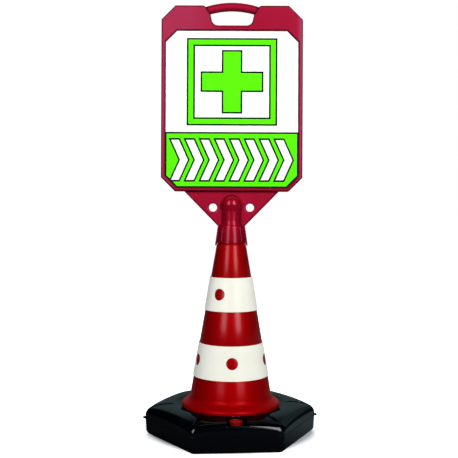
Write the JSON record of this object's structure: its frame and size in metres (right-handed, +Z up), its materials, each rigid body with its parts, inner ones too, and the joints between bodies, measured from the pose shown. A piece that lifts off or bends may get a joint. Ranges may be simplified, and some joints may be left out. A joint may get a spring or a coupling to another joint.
{
  "type": "plastic bollard",
  "caption": "Traffic cone bollard on a hollow hexagonal ballast base, with reflective bands and a framed sign board with a carrying handle that turns on the cone's top.",
  "frame": {"origin": "on the floor, under the middle of the base and on the cone's axis", "axes": "+Z up along the cone's axis, -Y the way the front of the sign faces, +X to the right seen from the front"},
  "size_m": [0.4614, 0.4124, 1.1395],
  "materials": {
    "black_plastic": "glossy black blow moulding",
    "sand": "dry sand",
    "seal_rubber": "matte black rubber",
    "cap_plastic": "satin red moulding",
    "red_plastic": "satin red moulding",
    "white_band": "warm white reflective sheet",
    "crimson_plastic": "satin crimson moulding",
    "sign_sheet": "white sheet printed in green with thin black outlines",
    "zinc_steel": "zinc plated"
  },
  "bodies": {
    "base": {"base_shell": "black_plastic", "sand_ballast": "sand", "cone": "red_plastic", "lower_band": "white_band", "upper_band": "white_band", "cone_screws": "zinc_steel", "screw_washers": "zinc_steel"},
    "sign": {"sign_board": "crimson_plastic", "carrying_handle": "crimson_plastic", "front_panel": "sign_sheet", "back_panel": "sign_sheet"},
    "seal": {"cap_seal": "seal_rubber"},
    "cap": {"filler_cap": "cap_plastic"}
  },
  "joints": [
    {"name": "sign_swivel", "type": "hinge", "parent": "base", "child": "sign", "pos_m": [0, 0, 0.6], "axis": [0, 0, 1], "continuous": true},
    {"name": "cap_rise", "type": "slide", "parent": "base", "child": "seal", "axis": [0, 0, 1], "range_m": [0, 0.012]},
    {"name": "cap_turn", "type": "hinge", "parent": "seal", "child": "cap", "pos_m": [0.01264, -0.15047, 0.0635], "axis": [0, 0, 1], "range_deg": [0, 1080]}
  ],
  "couplings": [
    {"joint": "cap_rise", "follows": "cap_turn", "m_per_rad": 0.00063662}
  ]
}
